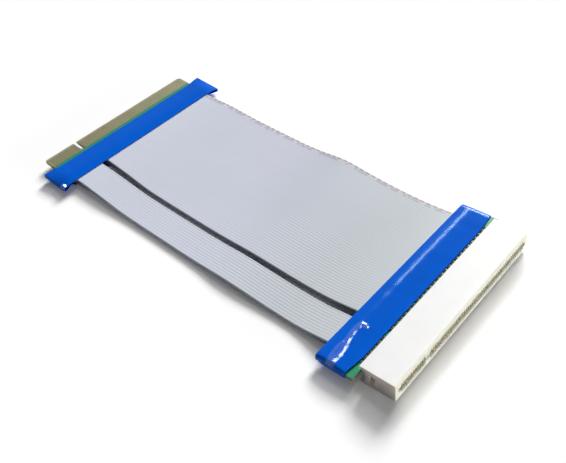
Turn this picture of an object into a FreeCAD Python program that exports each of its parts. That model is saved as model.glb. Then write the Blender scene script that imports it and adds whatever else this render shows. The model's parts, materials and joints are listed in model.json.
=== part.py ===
import FreeCAD, Part

import math
import os

import Sketcher

# Flexible PCI riser: a card-edge plug and a card socket joined by four flat ribbon cables.
#
# X runs from the plug to the socket, Y across the ribbons and Z up. The ground is Z = 0, and the origin lies
# on the ground in the middle of the overall length. The lower ribbons lie on the ground, and both ends point
# up a little: the plug leans on the rear edge of its film sleeve and the socket on the base of its housing.

# Driving dimensions: alias, value and note. Lengths are in millimetres.
DIMENSIONS = [
    ("overall_length", 188.0, "tip of the tongue to the mating face of the socket"),
    ("pin_pitch", 1.27, "distance between neighbouring ways"),
    ("wide_ways", 49, "count of ways before the key"),
    ("key_ways", 2, "count of ways that the key takes up"),
    ("narrow_ways", 11, "count of ways after the key"),
    ("plug_tilt", 3.5, "degrees by which the tongue points up"),
    ("socket_tilt", 4.5, "degrees by which the mating face of the socket points up"),
    ("board_thickness", 1.6, "both circuit boards"),
    ("board_width", 92.0, "both circuit boards, along Y"),
    ("tongue_depth", 8.1, "tip of the tongue to the shoulders of the plug board"),
    ("tongue_margin", 1.65, "middle of the outermost way to the side of the tongue"),
    ("tongue_corner", 0.8, "cut corners of the tongue"),
    ("bevel_length", 1.4, "bevel of the leading edge, along the tongue"),
    ("bevel_drop", 0.45, "bevel of the leading edge, on each face"),
    ("notch_width", 1.91, "key notch in the tongue"),
    ("notch_depth", 7.3, "tip of the tongue to the round end of the key notch"),
    ("plug_board_depth", 11.2, "plug board behind the shoulders"),
    ("socket_board_depth", 12.55, "socket board, along X"),
    ("socket_board_setback", 0.3, "base of the socket housing to the edge of its board"),
    ("finger_width", 1.02, "gold fingers of the tongue"),
    ("finger_length", 5.6, "gold fingers, from the bevel towards the shoulders"),
    ("finger_thickness", 0.06, "gold fingers, proud of the board"),
    ("ribbon_thickness", 0.9, "over the round of a conductor"),
    ("groove_depth", 0.25, "grooves between the conductors on the outer face"),
    ("ribbon_overlap", 3.0, "length of ribbon that lies on each board"),
    ("upper_height", 2.0, "level run of the upper ribbons above the ground"),
    ("wire_width", 0.7, "soldered wire ends"),
    ("wire_height", 0.6, "soldered wire ends, where they leave the ribbon"),
    ("wire_length", 2.6, "soldered wire ends, along the board"),
    ("film_thickness", 0.2, "blue film sleeves"),
    ("film_clearance", 0.1, "film to what it is drawn over"),
    ("film_lap", 0.3, "film over the shoulders of the plug board"),
    ("film_overhang", 2.5, "film beyond the boards on the ribbon side"),
    ("socket_gap", 2.85, "base of the socket housing to the film"),
    ("contact_width", 0.6, "spring contacts, along Y"),
    ("contact_thickness", 0.3, "spring contacts, sheet metal"),
    ("contact_reach", 11.6, "base of the housing to the tips of the contacts"),
    ("contact_preload", 0.25, "tips of the contacts inside the face of a card"),
    ("contact_foot", 2.4, "length of tail soldered under the film"),
    ("contact_spread", 1.75, "outer rows at the base of the housing, from the middle plane"),
    ("contact_knee", 4.5, "base of the housing to where the inner rows lean in"),
    ("housing_height", 13.8, "base to mating face of the socket housing"),
    ("housing_thickness", 8.0, "socket housing, across the slot"),
    ("housing_chamfer", 0.5, "long edges of the mating face"),
    ("end_wall", 1.8, "end of the slot to the end of the housing"),
    ("slot_clearance", 0.15, "slot to the card, on each side"),
    ("slot_floor_gap", 0.3, "floor of the slot to the tip of a card"),
    ("cavity_clearance", 0.1, "contact cavities to the contacts, on each side"),
    ("key_core_depth", 2.0, "cored hole in the key rib"),
    ("key_core_wall", 0.4, "key rib around its cored hole"),
    ("end_hole_start", 3.6, "base of the housing to the cored hole in its end"),
    ("end_hole_length", 2.4, "cored hole in the end, along X"),
    ("end_hole_width", 3.2, "cored hole in the end, across the housing"),
    ("end_hole_depth", 1.4, "cored hole in the end, along Y"),
    ("end_notch_length", 1.9, "notch in the end at the base, along X"),
    ("end_notch_width", 5.2, "notch in the end at the base, across the housing"),
    ("end_notch_depth", 1.2, "notch in the end at the base, along Y"),
]


class Size:
    """A length that carries both its value and its formula on the sheet."""

    def __init__(self, value, formula):
        self.value = value
        self.formula = formula

    def join(self, other, sign, value):
        text = other.formula if isinstance(other, Size) else repr(other)
        return Size(value, f"({self.formula} {sign} {text})")

    def __add__(self, other):
        return self.join(other, "+", self.value + plain(other))

    def __sub__(self, other):
        return self.join(other, "-", self.value - plain(other))

    def __mul__(self, other):
        return self.join(other, "*", self.value * plain(other))

    def __truediv__(self, other):
        return self.join(other, "/", self.value / plain(other))

    def __neg__(self):
        return self * -1

    def sine(self):
        """Sine of a size in degrees."""
        return Size(math.sin(math.radians(self.value)), f"sin({self.formula} * 1 deg)")

    def cosine(self):
        """Cosine of a size in degrees."""
        return Size(math.cos(math.radians(self.value)), f"cos({self.formula} * 1 deg)")


def plain(length):
    """The bare number of a size or of a number."""
    return length.value if isinstance(length, Size) else length


doc = FreeCAD.newDocument("pci_riser")
sheet = doc.addObject("Spreadsheet::Sheet", "Sizes")
for row_number, (alias, value, note) in enumerate(DIMENSIONS, 1):
    sheet.set(f"A{row_number}", alias)
    sheet.set(f"B{row_number}", str(value))
    sheet.set(f"C{row_number}", note)
    sheet.setAlias(f"B{row_number}", alias)
doc.recompute()
size = {alias: Size(float(sheet.get(alias)), f"Sizes.{alias}") for alias, _, _ in DIMENSIONS}

ZERO = Size(0.0, "0")

# Ways: the first lies at +Y, the last at -Y, and the key between the two groups
positions = size["wide_ways"] + size["key_ways"] + size["narrow_ways"]
row_half = size["pin_pitch"] * (positions - 1) / 2
key_middle = row_half - size["pin_pitch"] * (size["wide_ways"] + size["key_ways"] / 2 - 0.5)
ribbon_edge = row_half + size["pin_pitch"] / 2

# Heights from the middle plane of a board
board_face = size["board_thickness"] / 2
ribbon_face = board_face + size["ribbon_thickness"]
sleeve_half = ribbon_face + size["film_clearance"] + size["film_thickness"]

# Plug, along the tongue from its tip
tongue_half = row_half + size["tongue_margin"]
plug_board_end = size["tongue_depth"] + size["plug_board_depth"]
plug_ribbon_start = plug_board_end - size["ribbon_overlap"]
plug_sleeve_start = size["tongue_depth"] - size["film_lap"]
plug_sleeve_end = plug_board_end + size["film_overhang"]
tip_half = board_face - size["bevel_drop"]

# Socket, along X from the base of the housing, with the board on the negative side
socket_board_end = -(size["socket_board_setback"] + size["socket_board_depth"])
socket_ribbon_end = socket_board_end + size["ribbon_overlap"]
socket_sleeve_end = socket_board_end - size["film_overhang"]
slot_half = tongue_half + size["slot_clearance"]
housing_half = slot_half + size["end_wall"]
key_rib_half = size["notch_width"] / 2 - size["slot_clearance"]
cavity_half = size["contact_spread"] + size["contact_thickness"] + size["cavity_clearance"]

# Places of the two ends in the part's frame
face_half = size["housing_thickness"] / 2 - size["housing_chamfer"]
plug_sine = size["plug_tilt"].sine()
plug_cosine = size["plug_tilt"].cosine()
socket_sine = size["socket_tilt"].sine()
socket_cosine = size["socket_tilt"].cosine()
plug_x = tip_half * plug_sine - size["overall_length"] / 2
plug_z = plug_sleeve_end * plug_sine + sleeve_half * plug_cosine
socket_x = size["overall_length"] / 2 - size["housing_height"] * socket_cosine - face_half * socket_sine
socket_z = size["housing_thickness"] / 2 * socket_cosine
PLUG_FRAME = (plug_x, plug_z, size["plug_tilt"])
SOCKET_FRAME = (socket_x, socket_z, -size["socket_tilt"])

sub_parts = []


def place(item, frame):
    """Tie a sub-part to the frame of the plug or of the socket, turned about Y."""
    item.Placement = FreeCAD.Placement(FreeCAD.Vector(), FreeCAD.Rotation(FreeCAD.Vector(0, 1, 0), 1))
    for path, length in zip(("Base.x", "Base.z", "Rotation.Angle"), frame):
        item.setExpression(f"Placement.{path}", length.formula)


def new_body(label, frame):
    body = doc.addObject("PartDesign::Body", label)
    body.Label = label
    place(body, frame)
    sub_parts.append(body)
    return body


def origin_feature(body, role):
    return next(feature for feature in body.Origin.OriginFeatures if feature.Role == role)


def new_sketch(body, name, plane, lift=ZERO):
    """Start a sketch on an origin plane of the body, lifted along the normal of that plane."""
    sketch = body.newObject("Sketcher::SketchObject", name)
    sketch.AttachmentSupport = [(origin_feature(body, plane), "")]
    sketch.MapMode = "FlatFace"
    sketch.setExpression("AttachmentOffset.Base.z", lift.formula)
    return sketch


def hold_point(sketch, edge, end, point):
    """Tie a point of the sketch to its two formulas."""
    for kind, length in zip(("DistanceX", "DistanceY"), point):
        index = sketch.addConstraint(Sketcher.Constraint(kind, -1, 1, edge, end, length.value))
        sketch.setExpression(f"Constraints[{index}]", length.formula)


def outline(sketch, corners):
    """Draw a closed outline of straight lines through the corners."""
    first = sketch.GeometryCount
    places = [FreeCAD.Vector(across.value, up.value, 0) for across, up in corners]
    for start, end in zip(places, places[1:] + places[:1]):
        sketch.addGeometry(Part.LineSegment(start, end), False)
    count = len(corners)
    for step, corner in enumerate(corners):
        following = first + (step + 1) % count
        sketch.addConstraint(Sketcher.Constraint("Coincident", first + step, 2, following, 1))
        hold_point(sketch, first + step, 1, corner)


def rectangle(low_across, low_up, high_across, high_up):
    return [(low_across, low_up), (high_across, low_up), (high_across, high_up), (low_across, high_up)]


def pad(body, name, sketch, length, side="One side", backwards=False):
    feature = body.newObject("PartDesign::Pad", name)
    feature.Profile = sketch
    feature.SideType = side
    feature.Reversed = backwards
    feature.setExpression("Length", length.formula)
    return feature


def pocket(body, name, sketch, depth):
    feature = body.newObject("PartDesign::Pocket", name)
    feature.Profile = sketch
    feature.setExpression("Length", depth.formula)
    return feature


def pocket_through(body, name, sketch, side="One side"):
    feature = body.newObject("PartDesign::Pocket", name)
    feature.Profile = sketch
    feature.SideType = side
    feature.Type = "ThroughAll"
    return feature


def repeat_along_y(body, name, feature, pitch, count, towards_first):
    """Repeat a feature at a pitch, towards the first way (+Y) or the last (-Y)."""
    pattern = body.newObject("PartDesign::LinearPattern", name)
    pattern.Originals = [feature]
    pattern.Direction = (origin_feature(body, "Y_Axis"), [""])
    pattern.Reversed = not towards_first
    pattern.Mode = "Spacing"
    pattern.setExpression("Offset", pitch.formula)
    pattern.setExpression("Occurrences", count)
    body.Tip = pattern
    return pattern


# Each group of ways: name, first place along Y, direction in which it runs and count of ways
GROUPS = [
    ("wide", row_half, False, size["wide_ways"]),
    ("narrow", -row_half, True, size["narrow_ways"]),
]
SIDES = [("upper", 1), ("lower", -1)]


def make_plug_board():
    body = new_body("plug_board", PLUG_FRAME)
    depth = size["tongue_depth"]
    corner = size["tongue_corner"]
    half_width = size["board_width"] / 2
    sketch = new_sketch(body, "plug_board_outline", "XY_Plane")
    outline(sketch, [
        (ZERO, corner - tongue_half),
        (corner, -tongue_half),
        (depth, -tongue_half),
        (depth, -half_width),
        (plug_board_end, -half_width),
        (plug_board_end, half_width),
        (depth, half_width),
        (depth, tongue_half),
        (corner, tongue_half),
        (ZERO, tongue_half - corner),
    ])
    pad(body, "plug_board_sheet", sketch, size["board_thickness"], "Symmetric")

    bevel = new_sketch(body, "leading_edge", "XZ_Plane")
    for side in (1, -1):
        outline(bevel, [
            (ZERO, tip_half * side),
            (size["bevel_length"], board_face * side),
            (ZERO, board_face * side),
        ])
    pocket_through(body, "leading_edge_bevel", bevel, "Symmetric")

    notch = new_sketch(body, "key_notch_outline", "XY_Plane")
    round_half = size["notch_width"] / 2
    round_middle = size["notch_depth"] - round_half
    low = key_middle - round_half
    high = key_middle + round_half
    corners = [(round_middle, high), (ZERO, high), (ZERO, low), (round_middle, low)]
    places = [FreeCAD.Vector(across.value, up.value, 0) for across, up in corners]
    for start, end in zip(places, places[1:]):
        notch.addGeometry(Part.LineSegment(start, end), False)
    middle = FreeCAD.Vector(round_middle.value, key_middle.value, 0)
    circle = Part.Circle(middle, FreeCAD.Vector(0, 0, 1), round_half.value)
    arc = notch.addGeometry(Part.ArcOfCircle(circle, -math.pi / 2, math.pi / 2), False)
    for edge, corner in enumerate(corners):
        hold_point(notch, edge, 1, corner)
        notch.addConstraint(Sketcher.Constraint("Coincident", edge, 2, (edge + 1) % len(corners), 1))
    centred = notch.addConstraint(Sketcher.Constraint("DistanceX", -1, 1, arc, 3, round_middle.value))
    notch.setExpression(f"Constraints[{centred}]", round_middle.formula)
    pocket_through(body, "key_notch", notch, "Symmetric")


def make_fingers(side_name, side):
    body = new_body(f"plug_fingers_{side_name}", PLUG_FRAME)
    start = size["bevel_length"]
    end = start + size["finger_length"]
    half_width = size["finger_width"] / 2
    for group, first, towards_first, ways in GROUPS:
        label = f"{group}_{side_name}_finger"
        sketch = new_sketch(body, f"{label}_outline", "XY_Plane", board_face * side)
        outline(sketch, rectangle(start, first - half_width, end, first + half_width))
        finger = pad(body, label, sketch, size["finger_thickness"], backwards=side < 0)
        doc.recompute()
        repeat_along_y(body, f"{label}s", finger, size["pin_pitch"], ways.formula, towards_first)


def make_wires(group, side_name, side, end_name, frame, cut, towards):
    """Soldered wire ends of one ribbon: points of solder on the board that run out from its cut end."""
    first, towards_first, ways = next(entry[1:] for entry in GROUPS if entry[0] == group)
    label = f"{group}_{side_name}_{end_name}_wires"
    body = new_body(label, frame)
    half_width = size["wire_width"] / 2
    height = size["wire_height"] * side
    low, high = (ZERO, height) if side > 0 else (height, ZERO)
    # The wedge runs along its own Y, so it is turned to run out along X
    wire = body.newObject("PartDesign::AdditiveWedge", f"{label}_first")
    lengths = {
        "Xmin": -half_width,
        "Xmax": half_width,
        "Ymin": ZERO,
        "Ymax": size["wire_length"],
        "Zmin": low,
        "Zmax": high,
        "X2min": ZERO,
        "X2max": ZERO,
        "Z2min": ZERO,
        "Z2max": ZERO,
    }
    for name, length in lengths.items():
        wire.setExpression(name, length.formula)
    turn = FreeCAD.Rotation(FreeCAD.Vector(0, 0, 1), -90 * towards)
    wire.Placement = FreeCAD.Placement(FreeCAD.Vector(), turn)
    for axis, length in (("x", cut), ("y", first), ("z", board_face * side)):
        wire.setExpression(f"Placement.Base.{axis}", length.formula)
    doc.recompute()
    repeat_along_y(body, f"{label}_row", wire, size["pin_pitch"], ways.formula, towards_first)


def make_film_solid(name, stations, ends, offset, cover):
    """Solid under or over the film: high over the ribbons, low beside them, with a flat hip at each end."""
    body = doc.addObject("PartDesign::Body", name)
    ramp_start, ramp_end = stations
    board_side, ribbon_side = ends
    low = board_face + cover + offset
    high = ribbon_face + offset
    upper = [(board_side, low), (ramp_start, low), (ramp_end, high), (ribbon_side, high)]
    lower = [(across, -up) for across, up in reversed(upper)]
    section = new_sketch(body, f"{name}_section", "XZ_Plane")
    outline(section, upper + lower)
    hip_start = ribbon_edge + offset
    hip_end = size["board_width"] / 2 + offset
    pad(body, f"{name}_tube", section, hip_end * 2, "Symmetric")
    hips = new_sketch(body, f"{name}_hip_outline", "YZ_Plane")
    for across_sign in (1, -1):
        for up_sign in (1, -1):
            corners = [(hip_start, high), (hip_end, low), (hip_end, high)]
            outline(hips, [(across * across_sign, up * up_sign) for across, up in corners])
    pocket_through(body, f"{name}_hips", hips, "Symmetric")
    return body


def make_sleeve(label, frame, stations, ends, cover):
    """Film tube around a board: open towards the ribbons and the contacts, closed at both Y ends.

    The film lies on the ribbons over their width and comes down to the board beyond them. The cover is the
    height of what lies on the board where no ribbon does.
    """
    board_side, ribbon_side = ends
    past = size["film_overhang"] * (1 if ribbon_side.value > board_side.value else -1)
    inside = size["film_clearance"]
    sleeve = doc.addObject("Part::Cut", label)
    sleeve.Label = label
    sleeve.Base = make_film_solid(f"{label}_outside", stations, ends, inside + size["film_thickness"], cover)
    opened = (board_side - past, ribbon_side + past)
    sleeve.Tool = make_film_solid(f"{label}_inside", stations, opened, inside, cover)
    place(sleeve, frame)
    sub_parts.append(sleeve)


def make_sleeves():
    make_sleeve(
        "plug_sleeve",
        PLUG_FRAME,
        (plug_ribbon_start - size["wire_length"] - size["wire_height"], plug_ribbon_start),
        (plug_sleeve_start, plug_sleeve_end),
        ZERO,
    )
    make_sleeve(
        "socket_sleeve",
        SOCKET_FRAME,
        (socket_ribbon_end + size["wire_length"] + size["wire_height"], socket_ribbon_end),
        (-size["socket_gap"], socket_sleeve_end),
        size["contact_thickness"],
    )


def make_socket_board():
    body = new_body("socket_board", SOCKET_FRAME)
    sketch = new_sketch(body, "socket_board_outline", "XY_Plane")
    half_width = size["board_width"] / 2
    outline(sketch, rectangle(socket_board_end, -half_width, -size["socket_board_setback"], half_width))
    pad(body, "socket_board_sheet", sketch, size["board_thickness"], "Symmetric")


def make_socket_housing():
    body = new_body("socket_housing", SOCKET_FRAME)
    top = size["housing_height"]
    half = size["housing_thickness"] / 2
    chamfer = size["housing_chamfer"]
    block = new_sketch(body, "housing_profile", "XZ_Plane")
    outline(block, [
        (ZERO, -half),
        (top - chamfer, -half),
        (top, chamfer - half),
        (top, half - chamfer),
        (top - chamfer, half),
        (ZERO, half),
    ])
    pad(body, "housing_block", block, housing_half * 2, "Symmetric")

    slot = new_sketch(body, "card_slot_outline", "YZ_Plane", top)
    slot_face = board_face + size["slot_clearance"]
    outline(slot, rectangle(-slot_half, -slot_face, key_middle - key_rib_half, slot_face))
    outline(slot, rectangle(key_middle + key_rib_half, -slot_face, slot_half, slot_face))
    pocket(body, "card_slot", slot, size["tongue_depth"] + size["slot_floor_gap"])

    core = new_sketch(body, "key_core_outline", "YZ_Plane", top)
    core_half = key_rib_half - size["key_core_wall"]
    outline(core, rectangle(key_middle - core_half, -slot_face, key_middle + core_half, slot_face))
    pocket(body, "key_core", core, size["key_core_depth"])

    hole_half = size["end_hole_width"] / 2
    hole_end = size["end_hole_start"] + size["end_hole_length"]
    hole = new_sketch(body, "end_hole_outline", "XZ_Plane", housing_half)
    outline(hole, rectangle(size["end_hole_start"], -hole_half, hole_end, hole_half))
    end_hole = pocket(body, "end_hole", hole, size["end_hole_depth"])
    notch_half = size["end_notch_width"] / 2
    notch = new_sketch(body, "end_notch_outline", "XZ_Plane", housing_half)
    outline(notch, rectangle(ZERO, -notch_half, size["end_notch_length"], notch_half))
    end_notch = pocket(body, "end_notch", notch, size["end_notch_depth"])
    doc.recompute()
    other_end = body.newObject("PartDesign::Mirrored", "other_end")
    other_end.Originals = [end_hole, end_notch]
    other_end.MirrorPlane = (origin_feature(body, "XZ_Plane"), [""])
    body.Tip = other_end

    # Each pair of cavities is one cut across both walls of the slot, through to the base for the tails
    cavity_width_half = size["contact_width"] / 2 + size["cavity_clearance"]
    for group, first, towards_first, ways in GROUPS:
        sketch = new_sketch(body, f"{group}_cavity_outline", "YZ_Plane", top)
        corners = rectangle(first - cavity_width_half, -cavity_half, first + cavity_width_half, cavity_half)
        outline(sketch, corners)
        cavity = pocket_through(body, f"{group}_cavity", sketch)
        doc.recompute()
        repeat_along_y(body, f"{group}_cavities", cavity, size["pin_pitch"], ways.formula, towards_first)


def make_contacts(side_name, side, row_name):
    """One row of formed contacts, which takes every second way of each group."""
    body = new_body(f"contacts_{side_name}_{row_name}", SOCKET_FRAME)
    thickness = size["contact_thickness"]
    foot_end = size["film_clearance"] - size["socket_gap"]
    tail_end = foot_end - size["contact_foot"]
    tip = (size["contact_reach"], board_face - size["contact_preload"])
    if row_name == "outer":
        bends = [(foot_end, board_face), (ZERO, size["contact_spread"])]
    else:
        bends = [(size["contact_knee"], board_face)]
    inner_line = [(tail_end, board_face)] + bends + [tip]
    outer_line = [(across, up + thickness) for across, up in reversed(inner_line)]
    corners = [(across, up * side) for across, up in inner_line + outer_line]

    for group, first, towards_first, ways in GROUPS:
        # The first way belongs to the outer row and the last to the inner row
        leads = (row_name == "outer") == (group == "wide")
        step = ZERO if leads else size["pin_pitch"]
        start = first + step if towards_first else first - step
        count = f"floor(({ways.formula} + {int(leads)}) / 2)"
        label = f"{group}_{side_name}_{row_name}_contact"
        sketch = new_sketch(body, f"{label}_outline", "XZ_Plane", -start)
        outline(sketch, corners)
        contact = pad(body, label, sketch, size["contact_width"], "Symmetric")
        doc.recompute()
        repeat_along_y(body, f"{label}s", contact, size["pin_pitch"] * 2, count, towards_first)


def on_frame(frame, along, up):
    """Point of the XZ plane that lies in the frame of the plug or of the socket."""
    turn = math.radians(frame[2].value)
    across = frame[0].value + along * math.cos(turn) + up * math.sin(turn)
    height = frame[1].value - along * math.sin(turn) + up * math.cos(turn)
    return FreeCAD.Vector(across, 0, height)


def bend(mouth, corner, beyond):
    """Bend from the mouth of a sleeve round a corner of the route, as large as the way to it allows."""
    room = (corner - mouth).Length
    inward = (mouth - corner).normalize()
    outward = (beyond - corner).normalize()
    half_turn = (math.pi - inward.getAngle(outward)) / 2
    radius = room / math.tan(half_turn)
    to_middle = (inward + outward).normalize()
    middle = corner + to_middle * (radius / math.cos(half_turn))
    print(f"bend: radius {radius:.1f}, turn {math.degrees(2 * half_turn):.2f} degrees")
    return Part.Arc(mouth, middle - to_middle * radius, corner + outward * room).toShape()


def level_corner(start, mouth, level):
    """Where the straight way from a board through the mouth of its sleeve comes down to a level."""
    way = mouth - start
    return mouth + way * ((level - mouth.z) / way.z)


def ribbon_route(side):
    """Route of a layer of ribbons in the XZ plane, along the face that lies on the boards.

    Straight off each board to the mouth of its sleeve, round a bend and level between the two bends. The
    lower layer lies on the ground.
    """
    up = board_face.value * side
    level = size["upper_height" if side > 0 else "ribbon_thickness"].value
    start = on_frame(PLUG_FRAME, plug_ribbon_start.value, up)
    plug_mouth = on_frame(PLUG_FRAME, plug_sleeve_end.value, up)
    finish = on_frame(SOCKET_FRAME, socket_ribbon_end.value, up)
    socket_mouth = on_frame(SOCKET_FRAME, socket_sleeve_end.value, up)
    plug_corner = level_corner(start, plug_mouth, level)
    socket_corner = level_corner(finish, socket_mouth, level)
    plug_bend = bend(plug_mouth, plug_corner, socket_corner)
    socket_bend = bend(socket_mouth, socket_corner, plug_corner)
    return Part.Wire([
        Part.makeLine(start, plug_mouth),
        plug_bend,
        Part.makeLine(plug_bend.Vertexes[-1].Point, socket_bend.Vertexes[-1].Point),
        socket_bend,
        Part.makeLine(socket_mouth, finish),
    ])


def make_ribbon(group, side_name, side):
    """Ribbon cable, flat on the side of the boards. The upper ones have a ridge for each conductor on top."""
    first, towards_first, ways = next(entry[1:] for entry in GROUPS if entry[0] == group)
    pitch = size["pin_pitch"].value
    step = pitch if towards_first else -pitch
    count = int(ways.value)
    peak = size["ribbon_thickness"].value
    valley = peak - size["groove_depth"].value
    edge = first.value - step / 2
    if side > 0:
        section = [(edge, 0.0), (edge, valley)]
        for way in range(count):
            section.append((edge + step * (way + 0.5), peak))
            section.append((edge + step * (way + 1), valley))
        section.append((edge + step * count, 0.0))
    else:
        section = [(edge, 0.0), (edge, peak), (edge + step * count, peak), (edge + step * count, 0.0)]

    route = ribbon_route(side)
    start = route.OrderedVertexes[0].Point
    outward = on_frame(PLUG_FRAME, 0, side) - on_frame(PLUG_FRAME, 0, 0)
    corners = [start + FreeCAD.Vector(0, across, 0) + outward * height for across, height in section]
    profile = Part.makePolygon(corners + corners[:1])
    pipe = Part.BRepOffsetAPI.MakePipeShell(route)
    pipe.setBiNormalMode(FreeCAD.Vector(0, 1, 0))
    pipe.add(profile)
    pipe.build()
    pipe.makeSolid()
    ribbon = doc.addObject("Part::Feature", f"{group}_ribbon_{side_name}")
    ribbon.Label = f"{group}_ribbon_{side_name}"
    ribbon.Shape = pipe.shape()
    ribbon.Placement = FreeCAD.Placement()
    sub_parts.append(ribbon)
    expected = Part.Face(profile).Area * route.Length
    print(f"{ribbon.Label}: length {route.Length:.1f}, volume {ribbon.Shape.Volume:.1f} for {expected:.1f}")


make_plug_board()
make_sleeves()
make_socket_board()
make_socket_housing()
for layer_name, layer_side in SIDES:
    make_fingers(layer_name, layer_side)
    for contact_row in ("outer", "inner"):
        make_contacts(layer_name, layer_side, contact_row)
    for group_name in ("wide", "narrow"):
        make_ribbon(group_name, layer_name, layer_side)
        make_wires(group_name, layer_name, layer_side, "plug", PLUG_FRAME, plug_ribbon_start, -1)
        make_wires(group_name, layer_name, layer_side, "socket", SOCKET_FRAME, socket_ribbon_end, 1)
doc.recompute()

for item in doc.Objects:
    if "Invalid" in item.State or "Error" in item.State:
        raise RuntimeError(f"{item.Label} failed: {item.State}")
for part in sub_parts:
    if part.Shape.isNull() or not part.Shape.isValid():
        raise RuntimeError(f"{part.Label} has no valid shape")

os.makedirs("parts", exist_ok=True)
for part in sub_parts:
    part.Shape.exportStep(f"parts/{part.Label}.step")
    print(part.Label, len(part.Shape.Solids), "solids", round(part.Shape.Volume, 2), "cubic mm")
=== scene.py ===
import json
import math
from typing import NamedTuple

import bpy
import numpy as np
from mathutils import Matrix, Quaternion, Vector


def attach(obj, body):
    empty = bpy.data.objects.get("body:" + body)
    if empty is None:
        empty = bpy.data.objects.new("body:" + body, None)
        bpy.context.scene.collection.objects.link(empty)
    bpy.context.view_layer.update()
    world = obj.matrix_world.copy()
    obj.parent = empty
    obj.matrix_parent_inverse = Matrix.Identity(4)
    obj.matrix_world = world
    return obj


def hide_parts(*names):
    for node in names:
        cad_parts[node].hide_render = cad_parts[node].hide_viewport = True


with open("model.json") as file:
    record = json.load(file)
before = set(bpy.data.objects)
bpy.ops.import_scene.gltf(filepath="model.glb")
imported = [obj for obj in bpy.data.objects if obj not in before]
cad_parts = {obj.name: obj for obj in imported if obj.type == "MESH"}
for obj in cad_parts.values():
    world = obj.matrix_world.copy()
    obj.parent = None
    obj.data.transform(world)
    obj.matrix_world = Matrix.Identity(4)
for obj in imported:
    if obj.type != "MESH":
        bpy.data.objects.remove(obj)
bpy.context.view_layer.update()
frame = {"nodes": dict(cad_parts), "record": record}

# Looks of the flexible riser: ridged grey ribbons, glossy blue film sleeves, a white moulded socket, green
# boards and gilt contacts. Lengths are millimetres in the part's own frame: X runs from the plug to the
# socket, Y across the ribbons from their near edge to their far edge, and Z up from the ground.
MM = 0.001

# Corners of a solid this close to its end or to its top are taken as lying on it
ON_FACE = 0.02

# Numbers kept with the points of a mesh, for its material to read
WAY_LAYER = "way"
FOLD_LAYER = "fold"

# Ways of the cable, counted at the pin pitch from its far edge, with none at the place of the key
PITCH = 1.27
WIDE_WAYS = 49
KEY_WAYS = 2
NARROW_WAYS = 11
CABLE_WIDTH = (WIDE_WAYS + KEY_WAYS + NARROW_WAYS) * PITCH
FAR_EDGE = CABLE_WIDTH / 2
NARROW_EDGE = FAR_EDGE - (WIDE_WAYS + KEY_WAYS) * PITCH
SLIT_MIDDLE = WIDE_WAYS + KEY_WAYS / 2

# Ribbon: thick at its wires, thinner in the webs between them and rounded at its two edges
RIBBON_THICKNESS = 0.9
WEB_THICKNESS = 0.83
EDGE_THICKNESS = 0.16
FACETS_PER_WAY = 6
STEPS_PER_SPAN = 7

# Lie of the cable: the lower ribbons rise by a share of what the upper ones do, the cable cups up towards its
# far edge, and each ribbon bows towards the near side between the sleeves
STACK = 2 * RIBBON_THICKNESS
LOWER_SHARE = 0.55
CUP = 1.8
WIDE_BOW = 1.6
NARROW_BOW = 0.9
PLUG_BOW_REACH = 38.0
SOCKET_BOW_REACH = 60.0

# Top of the upper ribbons over the ground between the sleeves: place along X, far edge, near edge
RIBBON_WAVE = [
    (-64.0, 4.30, 3.45),
    (-54.0, 5.23, 3.05),
    (-43.0, 5.05, 2.10),
    (-31.0, 4.60, 1.85),
    (-18.0, 4.60, 1.85),
    (-6.0, 4.50, 1.85),
    (4.0, 5.60, 2.15),
    (14.0, 6.83, 2.95),
    (24.0, 5.52, 2.75),
    (34.0, 4.46, 2.25),
    (44.0, 3.81, 1.90),
    (53.0, 3.72, 2.30),
    (60.0, 4.02, 3.60),
]

# Film: its mesh is finer on the near side, where the folds are
FILM_THICKNESS = 0.2
FILM_STEPS_ALONG = 56
FILM_STEPS_ACROSS = 140
FILM_FINE_FROM = -24.0
FILM_FINE_STEPS = 110
FILM_EDGE_STEPS = 7

# Film over the board: a rounded crown set back from the mouth, lower sides with a nearly square turn round
# the edge, and a front edge that starts to bend to its corners a little inside the hips
CROWN_SETBACK = 4.2
CROWN_RISE = 0.26
CROWN_ROUND = 1.8
SIDE_HEIGHT = 1.05
EDGE_ROUND = 0.5
EDGE_SHAPE = 1 / 3
CORNER_REACH = 3.0

# Film below the board: drawn up to it at the mouth, with its lip set back beside the ribbons
PINCH = 0.7
PINCH_REACH = 1.8
LIP_SETBACK = 1.6

# Slow waves in the film: their lengths, and the most that each may turn from straight across, in radians
FILM_WAVE_LENGTHS = (31.0, 19.0, 11.0, 7.0)
FILM_WAVE_TURN = 0.35

# Folds in the film: the share of a fold over which it narrows, and the height at which it is fully shiny
FOLD_NARROWS_OVER = 0.3
FOLD_SHINY_HEIGHT = 0.06

# Camera
IMAGE_WIDTH = 566
FOCAL_PIXELS = 724.84
SENSOR_WIDTH = 36.0
CAMERA_PLACE = Vector((156.159, -151.086, 202.6))
CAMERA_AIM = Vector((15.401, -6.133, 0.0))
CAMERA_ROLL = math.radians(4.476)
CAMERA_CLIP = (10.0, 20000.0)


# Ends of the cable


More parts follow.
